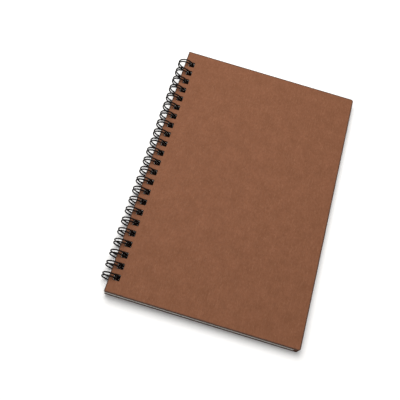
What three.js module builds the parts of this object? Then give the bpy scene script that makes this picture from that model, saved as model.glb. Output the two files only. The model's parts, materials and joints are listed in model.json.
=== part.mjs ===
// Wire-bound sketchbook, closed and lying on its back cover. Millimetres, +Z up.
//
// Two board covers and a stack of heavy sheets hang on one twin-loop binding wire. The book lies with its
// spine along Y. It rests on the lowest points of the wire loops and on the fore edge of the back cover,
// so the whole stack leans by less than a degree towards the fore edge.
import * as THREE from 'three';

// Covers and sheets
const COVER_WIDTH = 140;
const COVER_HEIGHT = 210;
const BOARD_THICKNESS = 1.5;
const COVER_CORNER_RADIUS = 2;
const COVER_CORNER_STEPS = 5;
const SHEET_COUNT = 18;
const SHEET_THICKNESS = 0.21;
const SHEET_GAP = 0.04;
const FORE_EDGE_OVERHANG = 4;
const END_OVERHANG = 0.5;

// Punched holes, one square hole for each pair of wires, three to the inch
const HOLE_PITCH = 25.4 / 3;
const HOLE_COUNT = 23;
const HOLE_SIZE = 4.5;
const HOLE_FROM_SPINE = 5.45;

// Binding wire
const WIRE_DIAMETER = 1.1;
const WIRE_SIDES = 6;
const LOOP_RADIUS = 5.9;
const PAIR_SPACING = 2.2;
const ROOT_ANGLE = THREE.MathUtils.degToRad(262);
const TIP_ANGLE = THREE.MathUtils.degToRad(-58);
const ARC_STEPS = 12;
const TIP_STEPS = 3;
const ROOT_STEPS = 4;

// Where the stack sits in the loops. Heights are measured from the loops' centre line.
const LOOP_CENTRE_X = 0.6;
const STACK_TOP = 3.1;
const SPINE_EDGE_X = 0;

const KRAFT = new THREE.MeshStandardMaterial({ color: 0x8a5c42, roughness: 0.85, metalness: 0 });
const PAPER = new THREE.MeshStandardMaterial({ color: 0xe9e6e0, roughness: 0.9, metalness: 0 });
const COATED_WIRE = new THREE.MeshStandardMaterial({ color: 0x0e0d0d, roughness: 0.35, metalness: 0 });

const blockThickness = SHEET_COUNT * SHEET_THICKNESS + (SHEET_COUNT + 1) * SHEET_GAP;
const stackBottom = STACK_TOP - 2 * BOARD_THICKNESS - blockThickness;
const wireBottom = -(LOOP_RADIUS + WIRE_DIAMETER / 2);

function holeCentreY(index) {
  return (index - (HOLE_COUNT - 1) / 2) * HOLE_PITCH;
}

function squareHole(centreX, centreY) {
  const half = HOLE_SIZE / 2;
  const hole = new THREE.Path();
  hole.moveTo(centreX - half, centreY - half);
  hole.lineTo(centreX - half, centreY + half);
  hole.lineTo(centreX + half, centreY + half);
  hole.lineTo(centreX + half, centreY - half);
  hole.closePath();
  return hole;
}

// A punched plate with its spine edge square and its two fore-edge corners rounded.
function plateGeometry(width, height, thickness, cornerRadius) {
  const left = SPINE_EDGE_X;
  const right = left + width;
  const half = height / 2;
  const outline = new THREE.Shape();
  outline.moveTo(left, -half);
  outline.lineTo(right - cornerRadius, -half);
  if (cornerRadius > 0) {
    outline.absarc(right - cornerRadius, -half + cornerRadius, cornerRadius, -Math.PI / 2, 0, false);
    outline.lineTo(right, half - cornerRadius);
    outline.absarc(right - cornerRadius, half - cornerRadius, cornerRadius, 0, Math.PI / 2, false);
  } else {
    outline.lineTo(right, half);
  }
  outline.lineTo(left, half);
  outline.closePath();
  for (let index = 0; index < HOLE_COUNT; index += 1) {
    outline.holes.push(squareHole(left + HOLE_FROM_SPINE, holeCentreY(index)));
  }
  return new THREE.ExtrudeGeometry(outline, {
    depth: thickness,
    bevelEnabled: false,
    curveSegments: COVER_CORNER_STEPS,
  });
}

function plate(name, geometry, material, bottomZ) {
  const mesh = new THREE.Mesh(geometry, material);
  mesh.name = name;
  mesh.position.z = bottomZ;
  return mesh;
}

// The wire's centre line. It is laid out flat as a comb of long fingers, then rolled round the loops'
// centre line. A finger is one pair of wires joined by a tight bend at its tip, and a wide bend at the
// root joins it to the next finger. Each free end is half a root, where the wire was cut to length. The
// stations are the points where the tube gets a section.
class TwinLoopPath extends THREE.Curve {
  constructor() {
    super();
    // A chord cuts inside its arc, so the corners stand half of that depth outside it.
    const chordDepth = 1 - Math.cos((ROOT_ANGLE - TIP_ANGLE) / ARC_STEPS / 2);
    this.radius = LOOP_RADIUS * (1 + chordDepth / 2);
    this.stations = [];
    const middleOfRoot = ROOT_STEPS / 2;
    const endOfRoot = ROOT_STEPS - 1;
    this.addRoot(holeCentreY(0) - HOLE_PITCH / 2, middleOfRoot, endOfRoot);
    for (let index = 0; index < HOLE_COUNT; index += 1) {
      const isLast = index === HOLE_COUNT - 1;
      this.addFinger(holeCentreY(index));
      this.addRoot(holeCentreY(index) + HOLE_PITCH / 2, 1, isLast ? middleOfRoot : endOfRoot);
    }
  }

  addStation(angle, y) {
    const x = LOOP_CENTRE_X + this.radius * Math.cos(angle);
    this.stations.push(new THREE.Vector3(x, y, this.radius * Math.sin(angle)));
  }

  addFinger(centreY) {
    const bend = PAIR_SPACING / 2;
    for (let step = 0; step <= ARC_STEPS; step += 1) {
      this.addStation(THREE.MathUtils.lerp(ROOT_ANGLE, TIP_ANGLE, step / ARC_STEPS), centreY - bend);
    }
    for (let step = 1; step < TIP_STEPS; step += 1) {
      const turn = Math.PI * (step / TIP_STEPS);
      const reach = (bend * Math.sin(turn)) / LOOP_RADIUS;
      this.addStation(TIP_ANGLE - reach, centreY - bend * Math.cos(turn));
    }
    for (let step = 0; step <= ARC_STEPS; step += 1) {
      this.addStation(THREE.MathUtils.lerp(TIP_ANGLE, ROOT_ANGLE, step / ARC_STEPS), centreY + bend);
    }
  }

  addRoot(centreY, firstStep, lastStep) {
    const bend = (HOLE_PITCH - PAIR_SPACING) / 2;
    for (let step = firstStep; step <= lastStep; step += 1) {
      const turn = Math.PI * (step / ROOT_STEPS);
      const reach = (bend * Math.sin(turn)) / LOOP_RADIUS;
      this.addStation(ROOT_ANGLE + reach, centreY - bend * Math.cos(turn));
    }
  }

  getPoint(t, target = new THREE.Vector3()) {
    const place = THREE.MathUtils.clamp(t, 0, 1) * (this.stations.length - 1);
    const index = Math.min(Math.floor(place), this.stations.length - 2);
    return target.lerpVectors(this.stations[index], this.stations[index + 1], place - index);
  }

  // Sections belong at the stations, so distance along the wire is counted in stations.
  getUtoTmapping(u) {
    return u;
  }
}

function wireGeometry() {
  const section = new THREE.Shape();
  const radius = WIRE_DIAMETER / 2;
  for (let side = 0; side < WIRE_SIDES; side += 1) {
    const angle = (2 * Math.PI * side) / WIRE_SIDES;
    const x = radius * Math.cos(angle);
    const y = radius * Math.sin(angle);
    if (side === 0) {
      section.moveTo(x, y);
    } else {
      section.lineTo(x, y);
    }
  }
  section.closePath();
  const path = new TwinLoopPath();
  return new THREE.ExtrudeGeometry(section, {
    steps: path.stations.length - 1,
    extrudePath: path,
    bevelEnabled: false,
  });
}

// The stack, from the back cover up to the front cover
const bound = new THREE.Group();
const coverGeometry = plateGeometry(COVER_WIDTH, COVER_HEIGHT, BOARD_THICKNESS, COVER_CORNER_RADIUS);
const sheetWidth = COVER_WIDTH - FORE_EDGE_OVERHANG;
const sheetHeight = COVER_HEIGHT - 2 * END_OVERHANG;
const sheetGeometry = plateGeometry(sheetWidth, sheetHeight, SHEET_THICKNESS, 0);

bound.add(plate('back_cover', coverGeometry, KRAFT, stackBottom));
for (let index = 0; index < SHEET_COUNT; index += 1) {
  // Sheets are numbered from the front of the book, so the highest one is sheet_01.
  const name = `sheet_${String(index + 1).padStart(2, '0')}`;
  const underFrontCover = STACK_TOP - BOARD_THICKNESS;
  const bottomZ = underFrontCover - (index + 1) * (SHEET_GAP + SHEET_THICKNESS);
  bound.add(plate(name, sheetGeometry, PAPER, bottomZ));
}
bound.add(plate('front_cover', coverGeometry, KRAFT, STACK_TOP - BOARD_THICKNESS));

const wire = new THREE.Mesh(wireGeometry(), COATED_WIRE);
wire.name = 'binding_wire';
bound.add(wire);

// Lay the book down: turn it about the loops' centre line until the fore edge of the back cover is as
// low as the wire, then put the middle of its footprint on the origin.
const spread = Math.hypot(COVER_WIDTH - LOOP_CENTRE_X, stackBottom);
const foreEdgeDip = Math.atan2(-stackBottom, COVER_WIDTH - LOOP_CENTRE_X);
const leanAngle = Math.asin(-wireBottom / spread) - foreEdgeDip;
bound.position.set(-LOOP_CENTRE_X, 0, 0);

const leaning = new THREE.Group();
leaning.rotation.y = leanAngle;
leaning.add(bound);

const book = new THREE.Group();
book.add(leaning);
book.updateMatrixWorld(true);
const footprint = new THREE.Box3().setFromObject(book, true);
const middle = footprint.getCenter(new THREE.Vector3());
leaning.position.set(-middle.x, -middle.y, -footprint.min.z);
book.updateMatrixWorld(true);

export default book;
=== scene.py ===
"""Wire-bound kraft sketchbook: the looks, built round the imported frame. Metres, +Z up.

Each piece is made in the book's own axes: x from the spine edge to the fore edge, y up the page from the
middle of the book, and z up from the centre line of the wire loops. BOOK carries those axes into the frame,
where the closed book leans a little towards its fore edge.
"""

import json
import math
import random

import bmesh
import bpy
from mathutils import Matrix, Vector


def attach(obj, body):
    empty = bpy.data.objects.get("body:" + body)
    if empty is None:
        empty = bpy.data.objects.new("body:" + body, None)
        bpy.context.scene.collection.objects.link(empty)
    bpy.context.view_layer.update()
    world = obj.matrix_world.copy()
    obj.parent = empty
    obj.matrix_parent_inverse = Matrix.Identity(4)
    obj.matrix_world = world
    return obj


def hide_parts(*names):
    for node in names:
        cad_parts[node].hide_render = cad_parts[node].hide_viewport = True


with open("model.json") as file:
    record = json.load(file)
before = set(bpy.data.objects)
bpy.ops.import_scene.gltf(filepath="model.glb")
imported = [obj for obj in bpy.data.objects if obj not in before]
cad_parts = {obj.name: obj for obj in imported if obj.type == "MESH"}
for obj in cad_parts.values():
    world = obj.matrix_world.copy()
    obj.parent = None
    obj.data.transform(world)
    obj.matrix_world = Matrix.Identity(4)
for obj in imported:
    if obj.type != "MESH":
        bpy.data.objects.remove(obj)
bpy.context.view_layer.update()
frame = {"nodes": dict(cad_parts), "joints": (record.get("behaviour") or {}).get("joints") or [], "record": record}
MM = 0.001

# Covers and sheets
COVER_WIDTH = 140 * MM
COVER_HEIGHT = 210 * MM
BOARD_THICKNESS = 1.5 * MM
SHEET_THICKNESS = 0.21 * MM
SHEET_GAP = 0.04 * MM
FORE_EDGE_OVERHANG = 4 * MM
END_OVERHANG = 0.5 * MM
STACK_TOP = 3.1 * MM
FORE_CORNER_RADIUS = 2 * MM
FORE_CORNER_STEPS = 8
SPINE_CORNER_RADIUS = 0.4 * MM
HOLE_CORNER_RADIUS = 0.45 * MM
BOARD_RIM_RADIUS = 0.32 * MM
SMALL_RADIUS_STEPS = 3

# The most that a sheet is shifted out of its true place, along each axis
MOST_STRAY = 0.14 * MM
STRAY_SEED = 7

# Punched holes, one for each pair of wires, three to the inch
HOLE_PITCH = 25.4 / 3 * MM
HOLE_COUNT = 23
HOLE_SIZE = 4.5 * MM
HOLE_FROM_SPINE = 5.45 * MM

# Binding wire
WIRE_RADIUS = 0.55 * MM
WIRE_SIDES = 12
LOOP_RADIUS = 5.9 * MM
LOOP_CENTRE_X = 0.6 * MM
PAIR_SPACING = 2.2 * MM
ROOT_ANGLE = math.radians(262)
TIP_ANGLE = math.radians(-58)
ARC_STEPS = 56
TIP_STEPS = 10
ROOT_STEPS = 14

# Shading runs smoothly over any edge that turns less than this.
BOARD_SMOOTH_ANGLE = math.radians(50)
SHEET_SMOOTH_ANGLE = math.radians(35)
WIRE_SMOOTH_ANGLE = math.radians(60)

# Nearly all the values of a noise texture lie between these two.
NOISE_LOW = 0.3
NOISE_HIGH = 0.7

# The hinge line of every cover and sheet runs just outside the spine edge, level with the loops' centre.
HINGE_TO_SPINE = 0.1 * MM
hinge = Vector(frame["joints"][0]["pos_m"])
front_face = next(m for m in frame["record"]["mounts"] if m["name"] == "front_face")
lean = math.atan2(front_face["axis"][0], front_face["axis"][2])
from_hinge = Matrix.Translation((HINGE_TO_SPINE, 0, 0))
BOOK = Matrix.Translation(hinge) @ Matrix.Rotation(lean, 4, "Y") @ from_hinge


# ---------------------------------------------------------------- material building


class Paint:
    """One procedural material, built node by node. A value that is a socket is linked, any other is set.

    Patterns are laid out in the piece's own axes in millimetres, so a noise of scale 2 has about two
    blotches to the millimetre."""

    def __init__(self, name):
        self.material = bpy.data.materials.new(name)
        self.material.use_nodes = True
        self.tree = self.material.node_tree
        self.shader = self.tree.nodes["Principled BSDF"]
        coordinates = self.tree.nodes.new("ShaderNodeTexCoord")
        to_millimetres = (1 / MM, 1 / MM, 1 / MM)
        self.place = self.vector("MULTIPLY", coordinates.outputs["Object"], to_millimetres)

    def put(self, socket, value):
        if isinstance(value, bpy.types.NodeSocket):
            self.tree.links.new(value, socket)
        else:
            socket.default_value = value

    def node(self, kind, **inputs):
        node = self.tree.nodes.new(kind)
        for name, value in inputs.items():
            self.put(node.inputs[name.replace("_", " ")], value)
        return node

    def math(self, operation, *values):
        node = self.tree.nodes.new("ShaderNodeMath")
        node.operation = operation
        for socket, value in zip(node.inputs, values):
            self.put(socket, value)
        return node.outputs[0]

    def vector(self, operation, *values):
        node = self.tree.nodes.new("ShaderNodeVectorMath")
        node.operation = operation
        for socket, value in zip(node.inputs, values):
            self.put(socket, value)
        return node.outputs[0]

    def stretched(self, scale, turn=0.0):
        """The millimetre coordinates, scaled along each axis and then turned about z.

        A turn after the scaling leaves a noise stretched along the same axes, and gives another pattern."""
        node = self.tree.nodes.new("ShaderNodeMapping")
        self.put(node.inputs["Vector"], self.place)
        node.inputs["Rotation"].default_value = (0, 0, turn)
        node.inputs["Scale"].default_value = scale
        return node.outputs["Vector"]

    def noise(self, scale, detail=3.0, roughness=0.5, vector=None, distortion=0.0):
        node = self.node("ShaderNodeTexNoise", Scale=scale, Detail=detail, Roughness=roughness)
        self.put(node.inputs["Distortion"], distortion)
        self.put(node.inputs["Vector"], self.place if vector is None else vector)
        return node.outputs["Fac"]

    def ramp(self, value, low, high, out_low=0.0, out_high=1.0):
        """Goes evenly from out_low to out_high as the value goes from low to high, and stays so beyond."""
        node = self.tree.nodes.new("ShaderNodeMapRange")
        node.clamp = True
        ends = {"From Min": low, "From Max": high, "To Min": out_low, "To Max": out_high}
        for name, number in ends.items():
            node.inputs[name].default_value = number
        self.put(node.inputs["Value"], value)
        return node.outputs["Result"]

    def spread(self, noise, out_low=0.0, out_high=1.0):
        """The whole range of a noise, spread from out_low to out_high."""
        return self.ramp(noise, NOISE_LOW, NOISE_HIGH, out_low, out_high)

    def mix(self, factor, first, second):
        # The node repeats its sockets for every kind of value. These are its factor and its two colours.
        node = self.tree.nodes.new("ShaderNodeMix")
        node.data_type = "RGBA"
        self.put(node.inputs[0], factor)
        self.put(node.inputs[6], first)
        self.put(node.inputs[7], second)
        return node.outputs[2]

    def bump(self, height, distance, strength, under=None):
        node = self.node("ShaderNodeBump", Height=height, Distance=distance, Strength=strength)
        if under is not None:
            self.put(node.inputs["Normal"], under)
        return node.outputs["Normal"]

    def finish(self, **inputs):
        for name, value in inputs.items():
            self.put(self.shader.inputs[name.replace("_", " ")], value)
        return self.material


def kraft_paper():
    """Uncoated brown kraft paper on the faces of the boards, with soft blotches, fibres and dark specks.

    A thin dark line of painted shade follows the outline of each board."""
    deep_brown = (0.153, 0.0583, 0.0266, 1)
    pale_brown = (0.187, 0.0735, 0.0363, 1)
    mottled_brown = (0.124, 0.0455, 0.0202, 1)
    pale_fibre = (0.262, 0.124, 0.068, 1)
    dark_fibre = (0.105, 0.038, 0.017, 1)
    speck_brown = (0.07, 0.026, 0.014, 1)
    painted_rim_shade_brown = (0.046, 0.025, 0.018, 1)

    paint = Paint("kraft_paper")
    blotches = paint.noise(0.11, detail=4, roughness=0.6)
    mottle = paint.noise(0.55, detail=3, roughness=0.6)
    colour = paint.mix(paint.spread(blotches), deep_brown, pale_brown)
    colour = paint.mix(paint.ramp(mottle, 0.35, 0.7, out_high=0.5), colour, mottled_brown)
    heights = mottle
    # Three sets of fibres run up the page, each with its own turn of the pattern, length and strength.
    scale_across = 2.3
    fibre_height = 0.8
    for turn, scale_along, strength in ((0.55, 0.3, 0.42), (-0.85, 0.36, 0.36), (1.95, 0.33, 0.4)):
        along_fibres = paint.stretched((scale_across, scale_along, 1), turn)
        fibres = paint.noise(1.0, detail=2, vector=along_fibres, distortion=1.1)
        pale = paint.ramp(fibres, 0.6, 0.74, out_high=strength)
        dark = paint.ramp(fibres, 0.38, 0.27, out_high=strength)
        colour = paint.mix(pale, colour, pale_fibre)
        colour = paint.mix(dark, colour, dark_fibre)
        heights = paint.math("MULTIPLY_ADD", pale, fibre_height, heights)
    specks = paint.ramp(paint.noise(1.5, detail=1, roughness=0.4), 0.735, 0.8, out_high=0.55)
    colour = paint.mix(specks, colour, speck_brown)
    # Painted shade: a thin dark line along the board's outline.
    painted_rim_shade = paint.ramp(outline_distance(paint), 1.05, 0.45, out_high=0.9)
    colour = paint.mix(painted_rim_shade, colour, painted_rim_shade_brown)
    tooth = paint.noise(6.0, detail=2, roughness=0.65)
    normal = paint.bump(tooth, 0.03 * MM, 0.5)
    normal = paint.bump(heights, 0.06 * MM, 0.5, under=normal)
    roughness = paint.spread(paint.noise(0.9, detail=3), 0.62, 0.8)
    return paint.finish(Base_Color=colour, Roughness=roughness, Normal=normal, Specular_IOR_Level=0.15)


def outline_distance(paint):
    """How far a place on a board is from the board's outline, in millimetres, uneven by a tenth or two."""
    unevenness = 0.2
    axes = paint.node("ShaderNodeSeparateXYZ", Vector=paint.place).outputs
    from_fore = paint.math("SUBTRACT", COVER_WIDTH / MM, axes["X"])
    from_end = paint.math("SUBTRACT", COVER_HEIGHT / 2 / MM, paint.math("ABSOLUTE", axes["Y"]))
    nearest = paint.math("MINIMUM", paint.math("MINIMUM", axes["X"], from_fore), from_end)
    return paint.math("ADD", nearest, paint.spread(paint.noise(0.8, detail=3), -unevenness, unevenness))


def board_edge():
    """The cut edge of a board: brown pulp compressed in thin layers, with pale fibres torn by the knife, all
    darkened with painted shade.
    """
    # The board's core is a darker brown than its face; painted shade darkens these colours much further.
    dark_layer_in_painted_shade = (0.038, 0.0165, 0.0095, 1)
    pale_layer_in_painted_shade = (0.072, 0.031, 0.018, 1)
    torn_fibre_in_painted_shade = (0.12, 0.06, 0.037, 1)

    paint = Paint("board_edge")
    layers = paint.noise(1.0, detail=4, roughness=0.6, vector=paint.stretched((0.35, 0.35, 7.0)))
    torn = paint.noise(2.4, detail=4, roughness=0.7)
    colour = paint.mix(paint.ramp(layers, 0.32, 0.68), dark_layer_in_painted_shade, pale_layer_in_painted_shade)
    colour = paint.mix(paint.ramp(torn, 0.58, 0.75, out_high=0.5), colour, torn_fibre_in_painted_shade)
    normal = paint.bump(layers, 0.08 * MM, 0.7)
    normal = paint.bump(torn, 0.06 * MM, 0.6, under=normal)
    roughness = paint.spread(torn, 0.78, 0.92)
    return paint.finish(Base_Color=colour, Roughness=roughness, Normal=normal, Specular_IOR_Level=0.2)


def drawing_paper():
    """Off-white uncoated paper with a fine tooth."""
    deep_white = (0.72, 0.70, 0.655, 1)
    pale_white = (0.765, 0.75, 0.71, 1)
    grain_grey = (0.64, 0.62, 0.575, 1)

    paint = Paint("drawing_paper")
    cloud = paint.noise(0.25, detail=4, roughness=0.6)
    grain = paint.noise(2.2, detail=3, roughness=0.6)
    colour = paint.mix(paint.spread(cloud), deep_white, pale_white)
    colour = paint.mix(paint.ramp(grain, 0.5, 0.8, out_high=0.3), colour, grain_grey)
    normal = paint.bump(grain, 0.06 * MM, 0.35)
    normal = paint.bump(paint.noise(7.0, detail=2), 0.03 * MM, 0.4, under=normal)
    roughness = paint.spread(grain, 0.72, 0.86)
    return paint.finish(Base_Color=colour, Roughness=roughness, Normal=normal, Specular_IOR_Level=0.35)


def paper_edge():
    """The guillotined edge of a sheet, streaked along the cut, and greyer than its face with painted shade.

    The walls of the holes are darker still, with painted shade for the shade inside the holes."""
    # Painted shade: the edge colours are grey, for the shade on a stack's edges and in the gaps between sheets.
    dark_streak_in_painted_shade = (0.22, 0.205, 0.195, 1)
    pale_streak_in_painted_shade = (0.42, 0.40, 0.38, 1)
    nick_grey_in_painted_shade = (0.18, 0.165, 0.155, 1)
    wear_and_shade_black = (0.03, 0.024, 0.021, 1)

    paint = Paint("paper_edge")
    streaks = paint.noise(1.0, detail=4, roughness=0.65, vector=paint.stretched((0.5, 0.5, 9.0)))
    nicks = paint.noise(1.6, detail=3, roughness=0.6)
    colour = paint.mix(paint.spread(streaks), dark_streak_in_painted_shade, pale_streak_in_painted_shade)
    colour = paint.mix(paint.ramp(nicks, 0.55, 0.75, out_high=0.5), colour, nick_grey_in_painted_shade)
    # Painted shade in the holes: the hole walls are darkened nearly to black.
    wear_and_shade = paint.math("MULTIPLY", hole_wall(paint), 0.86)
    colour = paint.mix(wear_and_shade, colour, wear_and_shade_black)
    normal = paint.bump(streaks, 0.05 * MM, 0.5)
    roughness = paint.spread(nicks, 0.78, 0.9)
    return paint.finish(Base_Color=colour, Roughness=roughness, Normal=normal, Specular_IOR_Level=0.3)


def hole_wall(paint):
    """1 in the strip of a sheet that the row of holes takes up, and 0 near the outer edges."""
    one_within = HOLE_SIZE / MM * 0.6
    none_beyond = HOLE_SIZE / MM
    row_end = hole_centre_y(HOLE_COUNT - 1) / MM
    axes = paint.node("ShaderNodeSeparateXYZ", Vector=paint.place).outputs
    from_row = paint.math("ABSOLUTE", paint.math("SUBTRACT", axes["X"], HOLE_FROM_SPINE / MM))
    from_middle = paint.math("ABSOLUTE", axes["Y"])
    across_row = paint.ramp(from_row, none_beyond, one_within)
    along_row = paint.ramp(from_middle, row_end + none_beyond, row_end + one_within)
    return paint.math("MULTIPLY", across_row, along_row)


def coated_wire():
    """Steel wire in a smooth black nylon coat, a little worn where it shines."""
    coat_black = (0.004, 0.0022, 0.0018, 1)
    wear_and_shade_black = (0.011, 0.006, 0.0045, 1)

    paint = Paint("nylon_coated_wire")
    wear_and_shade = paint.noise(0.9, detail=4, roughness=0.6)
    flow = paint.noise(3.5, detail=2, roughness=0.5)
    colour = paint.mix(paint.ramp(wear_and_shade, 0.45, 0.75), coat_black, wear_and_shade_black)
    roughness = paint.spread(wear_and_shade, 0.3, 0.46)
    normal = paint.bump(flow, 0.04 * MM, 0.25)
    return paint.finish(Base_Color=colour, Roughness=roughness, Normal=normal, Specular_IOR_Level=0.07)


def cut_steel():
    """The bare end of the wire, where the cutter left drag lines."""
    dark_steel = (0.30, 0.30, 0.31, 1)
    bright_steel = (0.52, 0.52, 0.53, 1)

    paint = Paint("cut_steel")
    drag = paint.noise(1.0, detail=3, vector=paint.stretched((4.0, 4.0, 22.0)))
    colour = paint.mix(drag, dark_steel, bright_steel)
    roughness = paint.spread(drag, 0.25, 0.45)
    normal = paint.bump(drag, 0.03 * MM, 0.5)
    return paint.finish(Base_Color=colour, Roughness=roughness, Normal=normal, Metallic=1.0)


def table_paint():
    """A plain pale studio table."""
    deep_white = (0.86, 0.86, 0.86, 1)
    pale_white = (0.88, 0.88, 0.88, 1)

    paint = Paint("studio_table")
    cloud = paint.noise(0.004, detail=3)
    colour = paint.mix(paint.spread(cloud), deep_white, pale_white)
    return paint.finish(Base_Color=colour, Roughness=0.6, Specular_IOR_Level=0.2)


# ---------------------------------------------------------------- mesh building


def hole_centre_y(index):
    return (index - (HOLE_COUNT - 1) / 2) * HOLE_PITCH


def finished_mesh(name, bm):
    mesh = bpy.data.meshes.new(name)
    bm.to_mesh(mesh)
    bm.free()
    return mesh


def place_in_book(mesh, body, node, materials, offset=(0, 0, 0)):
    """Makes the mesh a piece that stands for a CAD node, rides on its body and takes the given materials."""
    piece = bpy.data.objects.new(mesh.name, mesh)
    bpy.context.scene.collection.objects.link(piece)
    for material in materials:
        mesh.materials.append(material)
    piece.matrix_world = BOOK @ Matrix.Translation(offset)
    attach(piece, body)
    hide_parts(node)
    return piece


def smooth_shade(piece, smooth_angle):
    for polygon in piece.data.polygons:
        polygon.use_smooth = True
    piece.data.set_sharp_from_angle(angle=smooth_angle)
    even = piece.modifiers.new("even_normals", "WEIGHTED_NORMAL")
    even.keep_sharp = True


def round_edges(bm, edges, radius, steps):
    bmesh.ops.bevel(
        bm, geom=edges, offset=radius, offset_type="OFFSET", segments=steps, profile=0.5, affect="EDGES"
    )


def round_upright_edges(bm, corners, radius, steps=SMALL_RADIUS_STEPS):
    """Rounds the upright edges of the plate that stand at the given (x, y) corners."""
    nearness = 1e-6
    edges = []
    for edge in bm.edges:
        first, second = (vertex.co for vertex in edge.verts)
        if (first.xy - second.xy).length > nearness:
            continue
        if any((first.xy - Vector(corner)).length < nearness for corner in corners):
            edges.append(edge)
    round_edges(bm, edges, radius, steps)


def round_rims(bm, radius):
    """Rounds every edge where a flat face meets a side of the plate."""
    side_slope, flat_slope = 0.1, 0.9
    edges = []
    for edge in bm.edges:
        slopes = sorted(abs(face.normal.z) for face in edge.link_faces)
        if len(slopes) == 2 and slopes[0] < side_slope and slopes[1] > flat_slope:
            edges.append(edge)
    round_edges(bm, edges, radius, SMALL_RADIUS_STEPS)


def punched_plate(name, width, height, thickness, columns, fore_radius=0.0, rim_radius=0.0):
    """A closed plate with its spine edge at x = 0 and a row of rounded square holes beside it.

    Material 0 is its two faces and material 1 is every edge, the walls of the holes included."""
    half = height / 2
    hole_left = HOLE_FROM_SPINE - HOLE_SIZE / 2
    hole_right = HOLE_FROM_SPINE + HOLE_SIZE / 2
    xs = [0, hole_left, hole_right]
    xs += [hole_right + (width - hole_right) * step / columns for step in range(1, columns + 1)]
    ys = [-half]
    for index in range(HOLE_COUNT):
        ys += [hole_centre_y(index) - HOLE_SIZE / 2, hole_centre_y(index) + HOLE_SIZE / 2]
    ys.append(half)

    bm = bmesh.new()
    grid = [[bm.verts.new((x, y, 0)) for y in ys] for x in xs]
    for column, (left, right) in enumerate(zip(grid, grid[1:])):
        for row in range(len(ys) - 1):
            is_hole = column == 1 and row % 2 == 1
            if not is_hole:
                bm.faces.new((left[row], right[row], right[row + 1], left[row + 1]))
    raised = bmesh.ops.extrude_face_region(bm, geom=bm.faces[:])
    lifted = [item for item in raised["geom"] if isinstance(item, bmesh.types.BMVert)]
    bmesh.ops.translate(bm, verts=lifted, vec=(0, 0, thickness))
    bmesh.ops.recalc_face_normals(bm, faces=bm.faces[:])

    hole_corners = [(x, y) for x in (hole_left, hole_right) for y in ys[1:-1]]
    round_upright_edges(bm, hole_corners, HOLE_CORNER_RADIUS)
    round_upright_edges(bm, [(0, -half), (0, half)], SPINE_CORNER_RADIUS)
    if fore_radius > 0:
        round_upright_edges(bm, [(width, -half), (width, half)], fore_radius, FORE_CORNER_STEPS)
    if rim_radius > 0:
        bm.normal_update()
        round_rims(bm, rim_radius)
    bm.normal_update()
    papered_slope = 0.8
    for face in bm.faces:
        face.material_index = 0 if abs(face.normal.z) > papered_slope else 1
    return finished_mesh(name, bm)


def rolled(angle, y):
    """A point of the wire's centre line: round the loops by an angle, and along the spine by y."""
    return Vector((LOOP_CENTRE_X + LOOP_RADIUS * math.cos(angle), y, LOOP_RADIUS * math.sin(angle)))


def half_turn(angle, side, centre_y, bend, steps):
    """The points between the two ends of a U-bend that bulges to one side of an angle."""
    points = []
    for step in range(1, steps):
        turn = math.pi * step / steps
        reach = side * bend * math.sin(turn) / LOOP_RADIUS
        points.append(rolled(angle + reach, centre_y - bend * math.cos(turn)))
    return points


def twin_loop_points():
    """The wire from end to end: fingers of two wires joined at the tip, with a wide bend between fingers.

    It was cut to length in the middle of a wide bend, so half a bend is left at each end."""
    arc = [ROOT_ANGLE + (TIP_ANGLE - ROOT_ANGLE) * step / ARC_STEPS for step in range(ARC_STEPS + 1)]
    tip_bend = PAIR_SPACING / 2
    root_bend = (HOLE_PITCH - PAIR_SPACING) / 2
    half_bend = ROOT_STEPS // 2
    first_bend = half_turn(ROOT_ANGLE, 1, hole_centre_y(0) - HOLE_PITCH / 2, root_bend, ROOT_STEPS)
    points = first_bend[half_bend - 1:]
    for index in range(HOLE_COUNT):
        y = hole_centre_y(index)
        points += [rolled(angle, y - tip_bend) for angle in arc]
        points += half_turn(TIP_ANGLE, -1, y, tip_bend, TIP_STEPS)
        points += [rolled(angle, y + tip_bend) for angle in reversed(arc)]
        bend = half_turn(ROOT_ANGLE, 1, y + HOLE_PITCH / 2, root_bend, ROOT_STEPS)
        points += bend if index < HOLE_COUNT - 1 else bend[:half_bend]
    return points


def round_tube(name, points, radius, sides):
    """A closed round tube along the points. Its two end caps are material 1."""
    bm = bmesh.new()
    across = Vector((0, 1, 0))
    rings = []
    for index, point in enumerate(points):
        before = points[max(index - 1, 0)]
        after = points[min(index + 1, len(points) - 1)]
        along = (after - before).normalized()
        across = (across - along * across.dot(along)).normalized()
        third = along.cross(across)
        ring = []
        for side in range(sides):
            angle = 2 * math.pi * side / sides
            ring.append(bm.verts.new(point + radius * (math.cos(angle) * across + math.sin(angle) * third)))
        rings.append(ring)
    for first, second in zip(rings, rings[1:]):
        for side in range(sides):
            after = (side + 1) % sides
            bm.faces.new((first[side], first[after], second[after], second[side]))
    for cap in (bm.faces.new(rings[0]), bm.faces.new(rings[-1])):
        cap.material_index = 1
    bmesh.ops.recalc_face_normals(bm, faces=bm.faces[:])
    return finished_mesh(name, bm)


# ---------------------------------------------------------------- the book


def make_cover(node, body, bottom_z, materials):
    mesh = punched_plate(
        f"{node}_board",
        COVER_WIDTH,
        COVER_HEIGHT,
        BOARD_THICKNESS,
        columns=20,
        fore_radius=FORE_CORNER_RADIUS,
        rim_radius=BOARD_RIM_RADIUS,
    )
    cover = place_in_book(mesh, body, node, materials, (0, 0, bottom_z))
    smooth_shade(cover, BOARD_SMOOTH_ANGLE)


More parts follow.
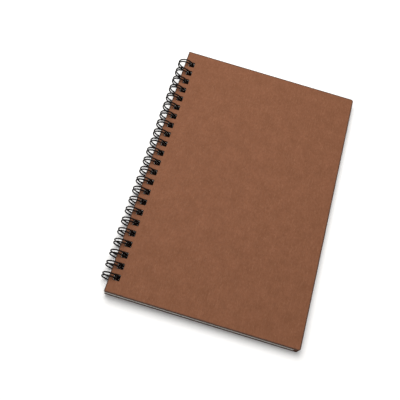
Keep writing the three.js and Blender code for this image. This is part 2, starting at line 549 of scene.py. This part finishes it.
def make_sheets(nodes, top_z, materials):
    """Every sheet is knocked up against the wire, so its edges stand a hair out of line with the next."""
    stray = random.Random(STRAY_SEED)
    width = COVER_WIDTH - FORE_EDGE_OVERHANG
    height = COVER_HEIGHT - 2 * END_OVERHANG
    for index, node in enumerate(nodes):
        mesh = punched_plate(node.replace("sheet", "leaf"), width, height, SHEET_THICKNESS, columns=6)
        shift = Vector((stray.uniform(0, MOST_STRAY), stray.uniform(-MOST_STRAY, MOST_STRAY), 0))
        shift.z = top_z - (index + 1) * (SHEET_THICKNESS + SHEET_GAP)
        leaf = place_in_book(mesh, node, node, materials, shift)
        smooth_shade(leaf, SHEET_SMOOTH_ANGLE)


def make_wire(body, materials):
    mesh = round_tube("twin_loop_wire", twin_loop_points(), WIRE_RADIUS, WIRE_SIDES)
    wire = place_in_book(mesh, body, "binding_wire", materials)
    smooth_shade(wire, WIRE_SMOOTH_ANGLE)


def make_book():
    """The two covers, the sheets between them, and the wire, which lies still with the back cover."""
    board = [kraft_paper(), board_edge()]
    sheet_nodes = sorted(name for name in frame["nodes"] if name.startswith("sheet_"))
    block_thickness = len(sheet_nodes) * (SHEET_THICKNESS + SHEET_GAP) + SHEET_GAP
    under_front_cover = STACK_TOP - BOARD_THICKNESS
    make_cover("front_cover", "front_cover", under_front_cover, board)
    make_cover("back_cover", "bound_back", under_front_cover - block_thickness - BOARD_THICKNESS, board)
    make_sheets(sheet_nodes, under_front_cover, [drawing_paper(), paper_edge()])
    make_wire("bound_back", [coated_wire(), cut_steel()])


# ---------------------------------------------------------------- stage, lights and camera


def make_table(size):
    bm = bmesh.new()
    bmesh.ops.create_grid(bm, x_segments=8, y_segments=8, size=size / 2)
    mesh = finished_mesh("studio_table", bm)
    mesh.materials.append(table_paint())
    table = bpy.data.objects.new("studio_table", mesh)
    bpy.context.scene.collection.objects.link(table)


def make_air(strength):
    """An even white light from all round."""
    world = bpy.data.worlds.new("studio_air")
    world.use_nodes = True
    background = world.node_tree.nodes["Background"]
    background.inputs["Color"].default_value = (1, 1, 1, 1)
    background.inputs["Strength"].default_value = strength
    bpy.context.scene.world = world


def make_light(name, position, size, power, colour):
    """A round soft light that faces the book."""
    light = bpy.data.lights.new(name, "AREA")
    light.shape = "DISK"
    light.size = size
    light.energy = power
    light.color = colour
    lamp = bpy.data.objects.new(name, light)
    bpy.context.scene.collection.objects.link(lamp)
    to_book = -Vector(position)
    lamp.location = position
    lamp.rotation_euler = to_book.to_track_quat("-Z", "Y").to_euler()


def make_camera():
    """The camera looks down the front cover from beyond its lower edge, a little rolled.

    Its place is measured from the corner of the front cover that is lowest on the spine."""
    from_cover_corner = Vector((52.7, -89.2, 406.6)) * MM
    elevation = math.radians(66.72)
    azimuth = math.radians(2.71)
    roll = math.radians(14.27)
    data = bpy.data.cameras.new("photo_camera")
    data.sensor_width = 36
    data.lens = 54
    camera = bpy.data.objects.new("photo_camera", data)
    bpy.context.scene.collection.objects.link(camera)
    cover_corner = Vector((0, -COVER_HEIGHT / 2, STACK_TOP))
    facing = Matrix.Rotation(azimuth, 4, "Z") @ Matrix.Rotation(math.pi / 2 - elevation, 4, "X")
    facing = facing @ Matrix.Rotation(roll, 4, "Z")
    camera.matrix_world = BOOK @ Matrix.Translation(cover_corner + from_cover_corner) @ facing
    bpy.context.scene.camera = camera


make_book()
make_table(size=8)
make_air(strength=0.58)
make_light("key", position=(-0.12, 0.15, 0.5), size=0.5, power=3.35, colour=(1, 0.985, 0.96))
make_light("fill", position=(0.3, -0.8, 0.7), size=1.0, power=0.3, colour=(0.96, 0.98, 1))
make_camera()
bpy.context.scene.view_settings.view_transform = "Standard"
